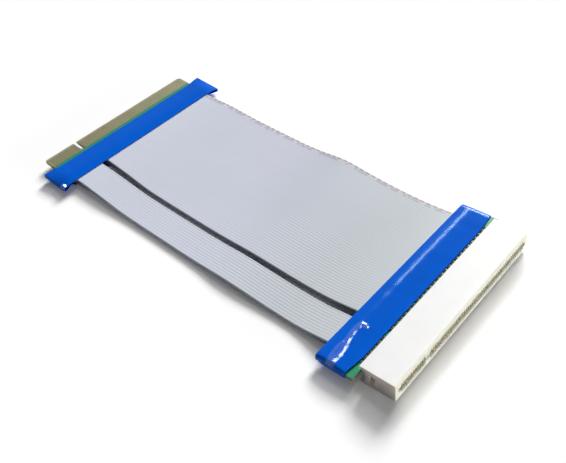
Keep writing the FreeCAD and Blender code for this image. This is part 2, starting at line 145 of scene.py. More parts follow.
class End:
    """One rigid end of the cable, with its own axes: out along the board, across it (Y) and up from it."""

    def __init__(self, mount_name):
        mount = next(m for m in frame["record"]["mounts"] if m["name"] == mount_name)
        self.origin = np.array(mount["pos_m"]) / MM
        self.out = np.array(mount["axis"])
        self.up = np.array((-self.out[2], 0.0, self.out[0])) * np.sign(self.out[0])

    def local(self, node_name):
        """The corners of a CAD node as rows of out, across and up."""
        mesh = frame["nodes"][node_name].data
        flat = np.zeros(3 * len(mesh.vertices))
        mesh.vertices.foreach_get("co", flat)
        points = flat.reshape(-1, 3) / MM - self.origin
        return np.stack([points @ self.out, points[:, 1], points @ self.up], axis=1)

    def at(self, out, across, up):
        """The place of a local point, or of arrays of them, in the part's frame."""
        out, across, up = np.broadcast_arrays(out, across, up)
        place = self.origin + out[..., None] * self.out + up[..., None] * self.up
        place[..., 1] += across
        return place


plug = End("edge_plug")
socket = End("card_slot")


# Meshes


def add_object(name, data):
    """A new object in the scene."""
    added = bpy.data.objects.new(name, data)
    bpy.context.scene.collection.objects.link(added)
    return added


def mesh_piece(node_name, finish, points, faces, material):
    """A smooth piece that rides on the part and stands for one CAD node."""
    name = f"{node_name}_{finish}"
    mesh = bpy.data.meshes.new(name)
    mesh.from_pydata((points.reshape(-1, 3) * MM).tolist(), [], faces)
    mesh.validate()
    mesh.polygons.foreach_set("use_smooth", [True] * len(mesh.polygons))
    mesh.materials.append(material)
    piece = add_object(name, mesh)
    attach(piece, "root")
    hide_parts(node_name)
    return piece


def keep_layer(piece, layer, values):
    """Keeps one number for each point of a piece, for its material to read."""
    piece.data.attributes.new(layer, "FLOAT", "POINT").data.foreach_set("value", values)


def grid_faces(rows, columns, rows_closed=False):
    """Quads between neighbouring rows of points; each row is a loop, and so is the run of rows if asked."""
    faces = []
    for row in range(rows if rows_closed else rows - 1):
        here = row * columns
        there = (row + 1) % rows * columns
        for column in range(columns):
            after = (column + 1) % columns
            faces.append((here + column, here + after, there + after, there + column))
    return faces


def smooth_step(value, start, end):
    """Rises smoothly from 0 at start to 1 at end."""
    share = np.clip((value - start) / (end - start), 0.0, 1.0)
    return share * share * (3 - 2 * share)


# Ribbons


def smooth_line(points):
    """Points along the NURBS line that the given points steer."""
    curve = bpy.data.curves.new("route", "CURVE")
    curve.dimensions = "3D"
    curve.resolution_u = STEPS_PER_SPAN
    spline = curve.splines.new("NURBS")
    spline.points.add(len(points) - 1)
    for control, place in zip(spline.points, points):
        control.co = (*place, 1.0)
    spline.order_u = 3
    spline.use_endpoint_u = True
    line = bpy.data.objects.new("route", curve)
    mesh = bpy.data.meshes.new_from_object(line)
    places = np.array([v.co for v in mesh.vertices])
    bpy.data.objects.remove(line)
    bpy.data.curves.remove(curve)
    bpy.data.meshes.remove(mesh)
    return places


def ribbon_section(ways):
    """Distances from the far edge of a ribbon, and half its thickness at each."""
    across = np.arange(ways * FACETS_PER_WAY + 1) * PITCH / FACETS_PER_WAY
    way = np.minimum(across // PITCH, ways - 1)
    off_centre = np.abs(across - (way + 0.5) * PITCH) / (PITCH / 2)
    groove = (1 - np.cos(math.pi * off_centre)) / 2
    half = RIBBON_THICKNESS / 2 - (RIBBON_THICKNESS - WEB_THICKNESS) / 2 * groove
    round_edge = RIBBON_THICKNESS / 2 * np.sqrt(np.clip(1 - off_centre**2, 0, None))
    outer = (across < PITCH / 2) | (across > (ways - 0.5) * PITCH)
    return across, np.where(outer, np.maximum(round_edge, EDGE_THICKNESS / 2), half)


def cable_edge(node_name, tops, is_upper):
    """The middle line of a ribbon at one edge of the cable, from inside one sleeve to inside the other."""
    ends = []
    for end, sleeve in ((plug, "plug_sleeve"), (socket, "socket_sleeve")):
        ribbon = end.local(node_name)
        start = ribbon[:, 0].max()
        face = ribbon[ribbon[:, 0] > start - ON_FACE]
        middle = (face[:, 2].min() + face[:, 2].max()) / 2
        mouth = end.local(sleeve)[:, 0].min()
        ends.append([end.at(out, 0.0, middle) for out in (start, (start + mouth) / 2, mouth)])
    between = []
    for x, top in tops:
        if not is_upper:
            top = RIBBON_THICKNESS + LOWER_SHARE * (top - STACK)
        between.append(np.array((x, 0.0, top - RIBBON_THICKNESS / 2)))
    return smooth_line(ends[0] + between + ends[1][::-1])


def make_ribbon(node_name, ways, far_edge, bow, is_upper, material):
    """One ridged ribbon, cupped between the lines of the far and near edges of the whole cable."""
    far_line = cable_edge(node_name, [(x, far) for x, far, near in RIBBON_WAVE], is_upper)
    near_line = cable_edge(node_name, [(x, near) for x, far, near in RIBBON_WAVE], is_upper)
    across, half = ribbon_section(ways)
    from_far_edge = FAR_EDGE - far_edge + across
    far_share = ((1 - from_far_edge / CABLE_WIDTH) ** CUP)[None, :, None]
    middle = far_line[:, None, :] * far_share + near_line[:, None, :] * (1 - far_share)
    x = middle[:, :1, 0]
    from_plug = smooth_step(x, x.min(), x.min() + PLUG_BOW_REACH)
    bowed = from_plug * smooth_step(x, x.max(), x.max() - SOCKET_BOW_REACH)
    middle[..., 1] = far_edge - across - bow * bowed

    run = np.gradient((far_line + near_line) / 2, axis=0)
    run /= np.linalg.norm(run, axis=1)[:, None]
    upward = np.stack([-run[:, 2], np.zeros(len(run)), run[:, 0]], axis=1)
    lift = upward[:, None, :] * half[None, :, None]
    loop = np.concatenate([middle + lift, (middle - lift)[:, ::-1]], axis=1)
    stations, count = loop.shape[:2]
    faces = grid_faces(stations, count)
    for station in (0, stations - 1):
        for column in range(len(across) - 1):
            opposite = count - 1 - column
            cap = [station * count + k for k in (column, column + 1, opposite - 1, opposite)]
            faces.append(cap if station else cap[::-1])
    piece = mesh_piece(node_name, "ridged", loop, faces, material)
    way = from_far_edge / PITCH
    keep_layer(piece, WAY_LAYER, np.tile(np.concatenate([way, way[::-1]]), stations))


# Film sleeves


class Fold(NamedTuple):
    """A fold in a film: a straight-sided ridge along a path of places out along the board and across it.

    spread is the share by which it is broader at its start, and crinkle the share by which its height swings,
    as many times as crinkles says.
    """

    path: list
    slope: float
    half_width: float
    spread: float = 0.0
    crinkle: float = 0.0
    crinkles: int = 0


PLUG_CORNER_FOLD = Fold([(-21.5, -46.0), (-20.0, -45.5)], slope=0.77, half_width=1.2)
SOCKET_HOOK_FOLD = Fold(
    [
        (-23.3, -46.2),
        (-23.2, -44.4),
        (-22.8, -41.6),
        (-22.9, -39.9),
        (-23.4, -37.6),
        (-24.0, -35.8),
        (-24.7, -32.1),
        (-25.0, -29.3),
        (-24.5, -26.9),
        (-22.8, -26.6),
    ],
    slope=0.13,
    half_width=1.3,
    spread=0.35,
    crinkle=0.12,
    crinkles=6,
)
SOCKET_SIDE_FOLD = Fold(
    [(-24.4, -44.4), (-25.0, -41.1), (-25.1, -38.3), (-24.8, -36.6)],
    slope=0.13,
    half_width=0.9,
    crinkle=0.10,
    crinkles=2,
)


class Tube:
    """The sizes of a CAD film tube and of the board in it, along the axes of their end."""

    def __init__(self, end, node_name, board_name):
        corners = end.local(node_name)
        self.mouth = corners[:, 0].min()
        self.front = corners[:, 0].max()
        self.half_width = corners[:, 1].max()
        self.high = corners[:, 2].max()
        self.low = corners[corners[:, 0] > self.front - ON_FACE][:, 2].max()
        self.hip = corners[corners[:, 2] > self.high - ON_FACE][:, 1].max()
        self.board_start = end.local(board_name)[:, 0].min()


def distance_to_path(out, across, path):
    """Distance of each point to a line of straight runs, and the share of the line's length there."""
    nearest = np.full(out.shape, np.inf)
    share = np.zeros(out.shape)
    lengths = [math.dist(a, b) for a, b in zip(path, path[1:])]
    passed = 0.0
    for (a, b), length in zip(zip(path, path[1:]), lengths):
        run_out, run_across = (b[0] - a[0]) / length, (b[1] - a[1]) / length
        reach = np.clip((out - a[0]) * run_out + (across - a[1]) * run_across, 0.0, length)
        gap = np.hypot(out - a[0] - reach * run_out, across - a[1] - reach * run_across)
        closer = gap < nearest
        nearest = np.where(closer, gap, nearest)
        share = np.where(closer, (passed + reach) / sum(lengths), share)
        passed += length
    return nearest, share


def film_folds(out, across, folds):
    """Height of the folds over the smooth film."""
    height = np.zeros(out.shape)
    for fold in folds:
        gap, share = distance_to_path(out, across, fold.path)
        reach = fold.half_width * (1 + fold.spread * (1 - smooth_step(share, 0.0, FOLD_NARROWS_OVER)))
        slack = 1 + fold.crinkle * np.sin(2 * math.pi * fold.crinkles * share)
        height = np.maximum(height, fold.slope * slack * np.clip(reach - gap, 0.0, None))
    return height


def film_waves(out, across, wave_height, seed):
    """Slow waves that keep the film from lying dead flat."""
    random = np.random.default_rng(seed)
    height = np.zeros(out.shape)
    for length in FILM_WAVE_LENGTHS:
        turn = random.uniform(-FILM_WAVE_TURN, FILM_WAVE_TURN)
        phase = random.uniform(0, 2 * math.pi)
        along = across * math.cos(turn) + out * math.sin(turn)
        height += wave_height * np.sin(2 * math.pi * along / length + phase) / len(FILM_WAVE_LENGTHS)
    return height


def film_crown(out, tube):
    """Height of the film along the board: up to a crown over the ribbon ends, then down to the front."""
    ahead = out - (tube.mouth + CROWN_SETBACK)
    rise = CROWN_RISE / CROWN_SETBACK
    fall = (tube.high + CROWN_RISE - tube.low) / (tube.front - tube.mouth - CROWN_SETBACK)
    bend = CROWN_ROUND * np.log(np.cosh(ahead / CROWN_ROUND))
    return tube.high + CROWN_RISE - (fall - rise) / 2 * ahead - (fall + rise) / 2 * bend


def film_columns(half_width):
    """Places across a film from its far side to its near side, and the share of its height kept at each."""
    flat_half = half_width - EDGE_ROUND
    plain = np.linspace(flat_half, FILM_FINE_FROM, FILM_STEPS_ACROSS)
    flat = np.concatenate([plain[:-1], np.linspace(FILM_FINE_FROM, -flat_half, FILM_FINE_STEPS)])
    turn = np.linspace(0, math.pi / 2, FILM_EDGE_STEPS + 1)[1:]
    rim = flat_half + EDGE_ROUND * np.sin(turn) ** EDGE_SHAPE
    fall_off = np.cos(turn).clip(0.0) ** EDGE_SHAPE
    across = np.concatenate([rim[::-1], flat, -rim])
    return across, np.concatenate([fall_off[::-1], np.ones(len(flat)), fall_off])


def make_sleeve(node_name, board_name, end, material, folds, wave_height, front_shift, hip_powers, seed):
    """A film tube round one board, drawn over the ribbons at its mouth and over the solder beyond them.

    front_shift moves the front edge in its middle and at its corners. hip_powers shape the far and near
    slopes from the hips, where the flat of the film ends, down to the sides.
    """
    tube = Tube(end, node_name, board_name)
    columns, height_kept = film_columns(tube.half_width)
    along, across = np.meshgrid(np.linspace(0, 1, FILM_STEPS_ALONG), columns, indexing="ij")
    off_middle = np.abs(across)
    in_middle, at_corners = front_shift
    to_corner = smooth_step(off_middle, tube.hip - CORNER_REACH, tube.half_width)
    front_line = tube.front + in_middle + (at_corners - in_middle) * to_corner
    out = tube.mouth + (front_line - tube.mouth) * along

    crest = film_crown(out, tube)
    to_side = np.clip((off_middle - tube.hip) / (tube.half_width - tube.hip), 0.0, 1.0)
    cover = crest + (SIDE_HEIGHT - crest) * to_side ** np.where(across > 0, *hip_powers)
    fold = film_folds(out, across, folds)
    top = (cover + fold + film_waves(out, across, wave_height, seed)) * height_kept

    pinch = smooth_step(off_middle, tube.hip, tube.hip + PINCH_REACH)
    pinch *= smooth_step(out, tube.board_start, tube.mouth)
    bottom = -np.minimum(cover, tube.high) * (1 - PINCH * pinch) * height_kept
    beside_ribbons = smooth_step(off_middle, tube.hip - PINCH_REACH, tube.hip)
    beside_ribbons *= smooth_step(off_middle, tube.half_width, tube.hip + PINCH_REACH)
    out_below = out + LIP_SETBACK * beside_ribbons * (1 - along) ** 2

    def loops(places, over, under):
        """Points round the tube at each step along it: over the top, then back below."""
        below = end.at(out_below, places, under)[:, -2:0:-1]
        return np.concatenate([end.at(out, places, over), below], axis=1)

    inside = (tube.half_width - FILM_THICKNESS) / tube.half_width
    middle = (top + bottom) / 2
    inner_top = np.maximum(top - FILM_THICKNESS, middle)
    inner_bottom = np.minimum(bottom + FILM_THICKNESS, middle)
    outer = loops(across, top, bottom)
    inner = loops(across * inside, inner_top, inner_bottom)
    skin = np.concatenate([outer, inner[::-1]])
    faces = grid_faces(*skin.shape[:2], rows_closed=True)
    if end.out[0] < 0:
        faces = [face[::-1] for face in faces]
    piece = mesh_piece(node_name, "film", skin, faces, material)
    shiny = np.zeros(skin.shape[:2])
    shiny[: len(outer), : len(columns)] = np.clip(fold / FOLD_SHINY_HEIGHT, 0.0, 1.0)
    keep_layer(piece, FOLD_LAYER, shiny.ravel())


# Shader nodes


def metres(lengths):
    """Lengths in metres, as Blender's own settings take them."""
    return [length * MM for length in lengths]


def feed(tree, socket_in, value):
    """Links an output to an input, or sets the input's own value."""
    if isinstance(value, bpy.types.NodeSocket):
        tree.links.new(value, socket_in)
    else:
        socket_in.default_value = value


def add_node(tree, kind, inputs=None, **settings):
    """A shader node with its settings and inputs; inputs go by name or by number."""
    node = tree.nodes.new("ShaderNode" + kind)
    for name, value in settings.items():
        setattr(node, name, value)
    for key, value in (inputs or {}).items():
        feed(tree, node.inputs[key], value)
    return node


def calculate(tree, operation, first, second=0.0):
    """The result of one sum."""
    return add_node(tree, "Math", {0: first, 1: second}, operation=operation).outputs[0]


def product(tree, first, *others):
    """Values multiplied together."""
    for other in others:
        first = calculate(tree, "MULTIPLY", first, other)
    return first


def off_by(tree, value, middle):
    """How far a value is from a middle one, either way."""
    return calculate(tree, "ABSOLUTE", calculate(tree, "SUBTRACT", value, middle))


def ramp(tree, value, low, high, out_low=0.0, out_high=1.0):
    """A value moved smoothly from one range to another."""
    inputs = {0: value, 1: low, 2: high, 3: out_low, 4: out_high}
    return add_node(tree, "MapRange", inputs, interpolation_type="SMOOTHSTEP").outputs[0]


def blend_colour(tree, factor, first, second, mode="MIX"):
    """Two colours mixed by a factor."""
    node = add_node(tree, "Mix", {0: factor, 6: first, 7: second}, data_type="RGBA", blend_type=mode)
    return node.outputs[2]


def surface_point(tree):
    """The surface point in the part's frame, in metres."""
    return add_node(tree, "TexCoord").outputs["Object"]


def surface_normal(tree):
    """The direction that the surface faces."""
    return add_node(tree, "NewGeometry").outputs["Normal"]


def axes_of(tree, vector):
    """X, Y and Z of a vector."""
    return add_node(tree, "SeparateXYZ", {0: vector}).outputs


def reach_along(tree, vector, axis):
    """How far a vector reaches along an axis."""
    return add_node(tree, "VectorMath", {0: vector, 1: tuple(axis)}, operation="DOT_PRODUCT").outputs["Value"]


def reach_from_mount(tree, end, axis):
    """How far the surface point lies from the mount of an end along an axis, in metres."""
    inputs = {0: surface_point(tree), 1: tuple(end.origin * MM)}
    return reach_along(tree, add_node(tree, "VectorMath", inputs, operation="SUBTRACT").outputs[0], axis)


def ways_from_far_edge(tree):
    """How many ways of the pin pitch lie between the far edge of the cable and the surface point."""
    from_edge = calculate(tree, "SUBTRACT", FAR_EDGE * MM, axes_of(tree, surface_point(tree))["Y"])
    return calculate(tree, "DIVIDE", from_edge, PITCH * MM)


# Shader node groups

COARSE_GRAIN = 0.11


def new_group(name, inputs, outputs):
    """An empty shader node group with named sockets; returns its tree, what it is given and its results."""
    tree = bpy.data.node_groups.new(name, "ShaderNodeTree")
    kinds = {"colour": "NodeSocketColor", "value": "NodeSocketFloat"}
    for socket_name, kind in inputs.items():
        tree.interface.new_socket(name=socket_name, in_out="INPUT", socket_type=kinds[kind])
    for socket_name, kind in outputs.items():
        tree.interface.new_socket(name=socket_name, in_out="OUTPUT", socket_type=kinds[kind])
    return tree, tree.nodes.new("NodeGroupInput").outputs, tree.nodes.new("NodeGroupOutput").inputs


def use_group(tree, group, inputs):
    """A group placed in a material with its own values; returns its outputs."""
    node = tree.nodes.new("ShaderNodeGroup")
    node.node_tree = group
    for name, value in inputs.items():
        feed(tree, node.inputs[name], value)
    return node.outputs


def patchy_colour_group():
    """A colour that drifts lighter and darker in soft patches."""
    inputs = {"Colour": "colour", "Scale": "value", "Contrast": "value"}
    tree, given, result = new_group("patchy_colour", inputs, {"Colour": "colour"})
    settings = {"Vector": surface_point(tree), "Scale": given["Scale"], "Detail": 4.0, "Roughness": 0.6}
    noise = add_node(tree, "TexNoise", settings).outputs[0]
    swing = product(tree, calculate(tree, "SUBTRACT", noise, 0.5), given["Contrast"], 2.0)
    tone = calculate(tree, "ADD", swing, 1.0)
    grey = add_node(tree, "CombineColor", {0: tone, 1: tone, 2: tone}).outputs[0]
    feed(tree, result["Colour"], blend_colour(tree, 1.0, given["Colour"], grey, "MULTIPLY"))
    return tree


def surface_grain_group():
    """Roughness that varies a little, and the height of a fine grain."""
    inputs = {"Scale": "value", "Roughness": "value", "Variation": "value"}
    tree, given, result = new_group("surface_grain", inputs, {"Roughness": "value", "Height": "value"})
    place = surface_point(tree)
    fine = add_node(tree, "TexNoise", {"Vector": place, "Scale": given["Scale"], "Detail": 3.0}).outputs[0]
    coarse_scale = product(tree, given["Scale"], COARSE_GRAIN)
    coarse = add_node(tree, "TexNoise", {"Vector": place, "Scale": coarse_scale, "Detail": 5.0}).outputs[0]
    both = calculate(tree, "SUBTRACT", calculate(tree, "ADD", fine, coarse), 1.0)
    change = product(tree, both, given["Variation"])
    feed(tree, result["Roughness"], calculate(tree, "ADD", given["Roughness"], change))
    feed(tree, result["Height"], fine)
    return tree


def ways_group():
    """Which way of the cable a point belongs to, its place across that way, and a random tone for the way."""
    outputs = {"Across": "value", "Way": "value", "Tone": "value"}
    tree, given, result = new_group("ways", {"Count": "value"}, outputs)
    way = calculate(tree, "FLOOR", given["Count"])
    tone = add_node(tree, "TexWhiteNoise", {"W": way}, noise_dimensions="1D").outputs["Value"]
    feed(tree, result["Way"], way)
    feed(tree, result["Across"], calculate(tree, "SUBTRACT", given["Count"], way))
    feed(tree, result["Tone"], tone)
    return tree


PATCHY_COLOUR = patchy_colour_group()
SURFACE_GRAIN = surface_grain_group()
WAY_PATTERN = ways_group()


def patchy(tree, colour, scale, contrast):
    """A colour that drifts lighter and darker in soft patches."""
    return use_group(tree, PATCHY_COLOUR, {"Colour": colour, "Scale": scale, "Contrast": contrast})["Colour"]


def new_material(name):
    """An empty node material with a Principled shader; returns the material, its tree and the shader."""
    material = bpy.data.materials.new(name)
    material.use_nodes = True
    tree = material.node_tree
    tree.nodes.clear()
    shader = add_node(tree, "BsdfPrincipled")
    add_node(tree, "OutputMaterial", {"Surface": shader.outputs[0]})
    return material, tree, shader


def finish_surface(tree, shader, colour, grain_scale, roughness, variation, relief):
    """Colour, uneven roughness and a fine relief on a shader."""
    inputs = {"Scale": grain_scale, "Roughness": roughness, "Variation": variation}
    grain = use_group(tree, SURFACE_GRAIN, inputs)
    bump = add_node(tree, "Bump", {"Height": grain["Height"], "Distance": relief * MM, "Strength": 1.0})
    feed(tree, shader.inputs["Base Color"], colour)
    feed(tree, shader.inputs["Roughness"], grain["Roughness"])
    feed(tree, shader.inputs["Normal"], bump.outputs[0])


# Blue film

FILM_BLUE = (0.0, 0.102, 0.610, 1)
FILM_GLINT = (0.35, 0.80, 1.0, 1)
FILM_ROUGHNESS = 0.11
FOLD_IOR = 1.52


def film_material(name, gloss):
    """Dyed plastic film, scuffed a little duller in places and drawn shiny along its folds."""
    material, tree, shader = new_material(name)
    dyed = patchy(tree, FILM_BLUE, scale=90.0, contrast=0.10)
    finish_surface(
        tree, shader, dyed, grain_scale=900.0, roughness=FILM_ROUGHNESS, variation=0.05, relief=0.001
    )
    drawn = add_node(tree, "Attribute", attribute_name=FOLD_LAYER).outputs["Fac"]
    feed(tree, shader.inputs["Coat Weight"], drawn)
    shader.inputs["Coat Roughness"].default_value = FILM_ROUGHNESS
    shader.inputs["Coat IOR"].default_value = FOLD_IOR
    shader.inputs["Specular IOR Level"].default_value = gloss
    shader.inputs["Specular Tint"].default_value = FILM_GLINT
    return material


# Grey vinyl

# It turns from a cool grey to a warmer, darker one along X, which is painted shade towards the socket end,
# and has painted shade in its grooves and beside the slit between the ribbons, at distances counted in ways
RIBBON_COOL = (0.588, 0.612, 0.708, 1)
RIBBON_PAINTED_SHADE = (0.504, 0.540, 0.572, 1)
RIBBON_TURNS = (-20.0, 60.0)
DARK_WAY = (0.45, 0.47, 0.52, 1)
WAY_TONE = 0.05
GROOVE_PAINTED_SHADE = (0.36, 0.38, 0.43, 1)
GROOVE_SIDE = (0.30, 0.5)
GROOVE_SHADE_SHARE = 0.05
SLIT_PAINTED_SHADE = (0.20, 0.21, 0.25, 1)
SLIT_SIDE = (1.9, 1.1)
SLIT_SHADE_SHARE = 0.6

# Red stripe in even dashes on the first way, and grey marks of uneven length on the second
UPPER_FACE = (0.2, 0.6)
STRIPE_RED = (0.41, 0.24, 0.23, 1)
STRIPE_STEP = 2.9
STRIPE_END = (0.36, 0.28)
STRIPE_SHARE = 0.7
MARK_WAY = 1
MARK_GREY = (0.25, 0.26, 0.30, 1)
MARK_STEP = 5.0
MARK_END = (0.46, 0.50)
MARK_SHARE = 0.40


def far_edge_stripes(tree, grey, cable, x):
    """The grey with a red stripe and grey marks on the upper face of the two ways at the far edge."""
    faces_up = ramp(tree, axes_of(tree, surface_normal(tree))["Z"], *UPPER_FACE)
    step = calculate(tree, "FRACT", calculate(tree, "DIVIDE", x, STRIPE_STEP * MM))
    dashes = ramp(tree, off_by(tree, step, 0.5), *STRIPE_END)
    on_stripe = calculate(tree, "LESS_THAN", cable["Way"], MARK_WAY)
    grey = blend_colour(tree, product(tree, dashes, on_stripe, faces_up, STRIPE_SHARE), grey, STRIPE_RED)
    steps = {"W": calculate(tree, "DIVIDE", x, MARK_STEP * MM), "Scale": 1.0}
    marks = ramp(tree, add_node(tree, "TexNoise", steps, noise_dimensions="1D").outputs[0], *MARK_END)
    on_marks = calculate(tree, "COMPARE", cable["Way"], MARK_WAY)
    return blend_colour(tree, product(tree, marks, on_marks, faces_up, MARK_SHARE), grey, MARK_GREY)


def ribbon_material(name, striped):
    """Grey vinyl cable, each way a shade of its own, with painted shade in places, striped at the far edge if
    asked.
    """
    material, tree, shader = new_material(name)
    count = add_node(tree, "Attribute", attribute_name=WAY_LAYER).outputs["Fac"]
    cable = use_group(tree, WAY_PATTERN, {"Count": count})
    x = axes_of(tree, surface_point(tree))["X"]
    # Painted shade: the grey darkens along X towards the socket end
    grey = blend_colour(tree, ramp(tree, x, *metres(RIBBON_TURNS)), RIBBON_COOL, RIBBON_PAINTED_SHADE)
    grey = patchy(tree, grey, scale=28.0, contrast=0.05)
    grey = blend_colour(tree, ramp(tree, cable["Tone"], 0.0, 1.0, out_high=WAY_TONE), grey, DARK_WAY)
    # Painted shade in the grooves between the wires
    groove = ramp(tree, off_by(tree, cable["Across"], 0.5), *GROOVE_SIDE, out_high=GROOVE_SHADE_SHARE)
    grey = blend_colour(tree, groove, grey, GROOVE_PAINTED_SHADE)
    # Painted shade beside the slit between the ribbons
    slit = ramp(tree, off_by(tree, count, SLIT_MIDDLE), *SLIT_SIDE, out_high=SLIT_SHADE_SHARE)
    grey = blend_colour(tree, slit, grey, SLIT_PAINTED_SHADE)
    if striped:
        grey = far_edge_stripes(tree, grey, cable, x)
    finish_surface(tree, shader, grey, grain_scale=1400.0, roughness=0.46, variation=0.10, relief=0.004)
    shader.inputs["Specular IOR Level"].default_value = 0.2
    return material


# Boards

MASK_GREEN = (0.010, 0.240, 0.115, 1)
TRACE_GREEN = (0.018, 0.285, 0.135, 1)
TRACE_SIDE = (0.16, 0.12)
BARE_LAMINATE = (0.27, 0.25, 0.14, 1)
BOARD_FACE = 0.97


def board_material(name, end, mask_reach):
    """Glass-fibre board: green mask over traces on its faces, bare laminate past the mask and on edges."""
    material, tree, shader = new_material(name)
    facing = calculate(tree, "ABSOLUTE", reach_along(tree, surface_normal(tree), end.up))
    on_face = calculate(tree, "GREATER_THAN", facing, BOARD_FACE)
    within_reach = calculate(tree, "LESS_THAN", reach_from_mount(tree, end, end.out), mask_reach * MM)
    rows = use_group(tree, WAY_PATTERN, {"Count": ways_from_far_edge(tree)})
    trace = ramp(tree, off_by(tree, rows["Across"], 0.5), *TRACE_SIDE)
    green = blend_colour(tree, trace, MASK_GREEN, TRACE_GREEN)
    laminate = patchy(tree, BARE_LAMINATE, scale=700.0, contrast=0.25)
    colour = blend_colour(tree, product(tree, on_face, within_reach), laminate, green)
    finish_surface(tree, shader, colour, grain_scale=1600.0, roughness=0.34, variation=0.10, relief=0.003)
    shader.inputs["Specular IOR Level"].default_value = 0.15
    return material


# Fingers, contacts and wire ends

FINGER_GILT = (0.190, 0.180, 0.105, 1)
FINGER_DULL = (0.170, 0.178, 0.118, 1)
FINGER_TONE = 0.55
TAIL_TIN = (0.070, 0.070, 0.045, 1)
TAIL_METALLIC = 0.85
# Gilt painted pale as painted light, against the shade in the housing's cavities
GRIP_GILT_AND_PAINTED_LIGHT = (0.90, 0.84, 0.60, 1)
GRIP_METALLIC = 0.10
GRIP_DEPTH = 4.0
GRIP_BLEND = 0.6
SOLDER_TIN = (0.55, 0.56, 0.58, 1)


def finger_material():
    """Gilt edge fingers, each a shade of its own, with uneven polish."""
    material, tree, shader = new_material("rubbed_gilt")
    fingers = use_group(tree, WAY_PATTERN, {"Count": ways_from_far_edge(tree)})
    gilt = patchy(tree, FINGER_GILT, scale=260.0, contrast=0.22)
    gilt = blend_colour(tree, ramp(tree, fingers["Tone"], 0.0, 1.0, out_high=FINGER_TONE), gilt, FINGER_DULL)
    finish_surface(tree, shader, gilt, grain_scale=1200.0, roughness=0.36, variation=0.16, relief=0.003)
    shader.inputs["Metallic"].default_value = 0.9
    return material


def contact_material(grip_start):
    """Spring bronze: gilt where a card is gripped, painted pale as painted light in the shaded cavities, dull
    tin on the tails.
    """
    material, tree, shader = new_material("tinned_spring_bronze")
    x = axes_of(tree, surface_point(tree))["X"]
    gripped = ramp(tree, x, *metres((grip_start - GRIP_BLEND, grip_start + GRIP_BLEND)))
    tin = patchy(tree, TAIL_TIN, scale=500.0, contrast=0.30)
    # Painted light: the gripped gilt is painted pale to lighten the shaded cavities
    colour = blend_colour(tree, gripped, tin, GRIP_GILT_AND_PAINTED_LIGHT)
    finish_surface(tree, shader, colour, grain_scale=1500.0, roughness=0.38, variation=0.14, relief=0.003)
    feed(tree, shader.inputs["Metallic"], ramp(tree, gripped, 0.0, 1.0, TAIL_METALLIC, GRIP_METALLIC))
    return material


def solder_material():
    """Tinned wire ends wetted with solder."""
    material, tree, shader = new_material("tinned_solder")
    tin = patchy(tree, SOLDER_TIN, scale=800.0, contrast=0.18)
    finish_surface(tree, shader, tin, grain_scale=1500.0, roughness=0.30, variation=0.14, relief=0.004)
    shader.inputs["Metallic"].default_value = 0.9
    return material


# Housing

# Walls that face sideways are painted a light cream in the cavities as painted light, and brownish on the two
# ends as painted shade; the mating face is painted cream as painted light, a little darker on its upper lip
# as painted shade
NYLON_WHITE = (0.875, 0.87, 0.845, 1)
CAVITY_PAINTED_LIGHT = (0.95, 0.89, 0.60, 1)
END_PAINTED_SHADE = (0.56, 0.49, 0.45, 1)
END_FACES_FROM = 40.3
PAINTED_SIDE_SHARE = 0.75
MATING_PAINTED_LIGHT = (0.94, 0.90, 0.68, 1)
LIP_PAINTED_SHADE = (0.84, 0.80, 0.60, 1)
LIP_RISE = (0.5, 2.5)
PAINTED_MATING_SHARE = 0.8
FACES_THAT_WAY = (0.5, 0.9)


def housing_material():
    """Glass-filled white nylon with a faint cloud and a fine skin, with painted light and shade by the way
    each face looks.
    """
    material, tree, shader = new_material("moulded_white_nylon")
    white = patchy(tree, NYLON_WHITE, scale=120.0, contrast=0.04)
    normal = surface_normal(tree)
    off_middle = calculate(tree, "ABSOLUTE", axes_of(tree, surface_point(tree))["Y"])
    # Painted shade on the two end faces
    on_ends = calculate(tree, "GREATER_THAN", off_middle, END_FACES_FROM * MM)
    # Painted light on the cavity walls
    painted_side_light_and_shade = blend_colour(tree, on_ends, CAVITY_PAINTED_LIGHT, END_PAINTED_SHADE)
    sideways = calculate(tree, "ABSOLUTE", axes_of(tree, normal)["Y"])
    sideways = ramp(tree, sideways, *FACES_THAT_WAY, out_high=PAINTED_SIDE_SHARE)
    white = blend_colour(tree, sideways, white, painted_side_light_and_shade)
    # Painted shade on the upper lip of the mating face
    on_lip = ramp(tree, reach_from_mount(tree, socket, socket.up), *metres(LIP_RISE))
    painted_mating_light_and_shade = blend_colour(tree, on_lip, MATING_PAINTED_LIGHT, LIP_PAINTED_SHADE)
    # Painted cream light on the mating face
    outward = ramp(tree, reach_along(tree, normal, socket.out), *FACES_THAT_WAY, out_high=PAINTED_MATING_SHARE)
    white = blend_colour(tree, outward, white, painted_mating_light_and_shade)
    finish_surface(tree, shader, white, grain_scale=2200.0, roughness=0.48, variation=0.10, relief=0.006)
    shader.inputs["Subsurface Weight"].default_value = 0.6
    shader.inputs["Subsurface Radius"].default_value = (1.0, 0.85, 0.6)
    shader.inputs["Subsurface Scale"].default_value = 3.0 * MM
    shader.inputs["Specular IOR Level"].default_value = 0.25
    return material


# The part


def dress(node_names, material):
    """Gives CAD nodes a material."""
    for name in node_names:
        mesh = frame["nodes"][name].data
        mesh.materials.clear()
        mesh.materials.append(material)


